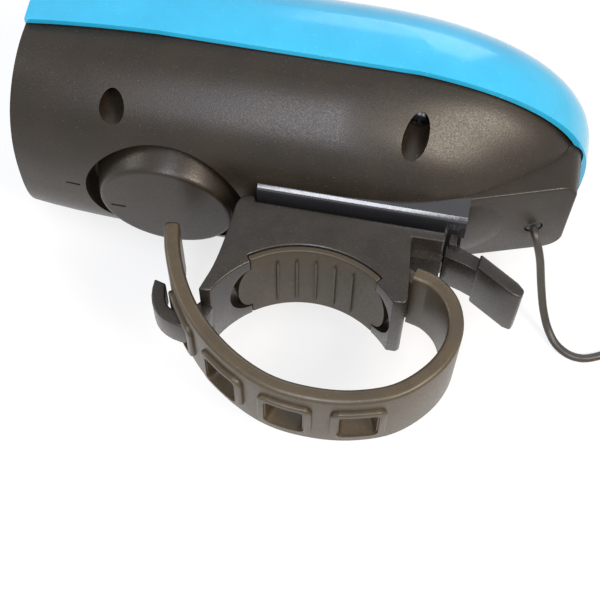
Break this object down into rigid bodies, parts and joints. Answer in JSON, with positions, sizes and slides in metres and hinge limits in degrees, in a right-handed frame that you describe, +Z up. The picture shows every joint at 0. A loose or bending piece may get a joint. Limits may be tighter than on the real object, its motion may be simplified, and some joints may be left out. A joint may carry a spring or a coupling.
{
  "type": "bicycle handlebar lamp with horn",
  "caption": "Handlebar lamp and horn in a rounded two-part case, on a slide-off bar clamp with a rubber ladder strap and a wired remote switch.",
  "frame": {"origin": "on the surface that the lamp lies on, under the middle of the lamp and its clamp, leaving the remote lead out", "axes": "the lamp lies on its left side: +X from the lens to the rear end, +Y from the clamp to the top shell, +Z up from the surface, which is along the handlebar"},
  "size_m": [0.1273, 0.069, 0.0454],
  "materials": {
    "black_shell": "black ABS, spark-eroded texture",
    "black_gloss": "black ABS, smooth moulded",
    "black_nylon": "black glass-filled nylon, satin",
    "black_rubber": "black silicone rubber, satin",
    "cyan_shell": "cyan ABS, smooth moulded",
    "steel": "zinc-plated steel",
    "aluminium": "turned aluminium",
    "clear_lens": "clear polycarbonate",
    "mirror": "vacuum-metallised reflector",
    "circuit_board": "green solder mask",
    "battery_wrap": "blue shrink sleeve",
    "dark_plastic": "dark phenolic",
    "led_phosphor": "LED phosphor dome",
    "light_window": "frosted light pipe",
    "red_plastic": "red silicone"
  },
  "bodies": {
    "lamp": {"lower_shell": "black_shell", "top_shell": "cyan_shell", "shell_seal": "black_rubber", "status_window": "light_window", "cable_gland": "black_rubber", "case_screw_1": "steel", "case_screw_2": "steel", "case_screw_3": "steel", "case_screw_4": "steel", "front_bezel": "black_gloss", "lens": "clear_lens", "reflector": "mirror", "led_board": "aluminium", "led_emitter": "led_phosphor", "heat_sink": "aluminium", "battery_cell": "battery_wrap", "battery_cradle": "dark_plastic", "main_board": "circuit_board", "usb_socket": "steel", "button_board": "circuit_board", "tact_switch": "dark_plastic", "horn_gasket": "black_rubber", "horn_sounder": "dark_plastic", "remote_lead": "black_rubber", "lead_coil": "black_rubber", "coil_tie": "black_nylon", "remote_tail": "black_rubber", "remote_housing": "black_shell", "remote_base": "black_rubber", "remote_switch": "dark_plastic"},
    "clamp": {"clamp_bracket": "black_nylon", "bar_pad": "black_rubber", "strap": "black_rubber", "strap_pin": "steel"},
    "lever": {"release_lever": "black_nylon"},
    "cap": {"horn_cap": "black_shell"},
    "button": {"power_button": "black_rubber"},
    "flap": {"usb_cover": "black_rubber"},
    "remote_key": {"remote_button": "red_plastic"}
  },
  "joints": [
    {"name": "bracket_slide", "type": "slide", "parent": "lamp", "child": "clamp", "axis": [1, 0, 0], "range_m": [0, 0.032]},
    {"name": "lever_press", "type": "hinge", "parent": "clamp", "child": "lever", "pos_m": [0.0245, -0.005, 0.0227], "axis": [0, 0, -1], "range_deg": [0, 12], "stiffness_Nm_per_rad": 0.05},
    {"name": "cap_twist", "type": "hinge", "parent": "lamp", "child": "cap", "pos_m": [-0.0203, -0.0012, 0.0227], "axis": [0, 1, 0], "range_deg": [0, 25]},
    {"name": "button_press", "type": "slide", "parent": "lamp", "child": "button", "axis": [0, -1, 0], "range_m": [0, 0.0005], "stiffness_N_per_m": 300},
    {"name": "flap_open", "type": "hinge", "parent": "lamp", "child": "flap", "pos_m": [0.0434, 0.0093, 0.0227], "axis": [0, 0, -1], "range_deg": [0, 100]},
    {"name": "remote_press", "type": "slide", "parent": "lamp", "child": "remote_key", "axis": [0, 0, -1], "range_m": [0, 0.0005], "stiffness_N_per_m": 300}
  ]
}
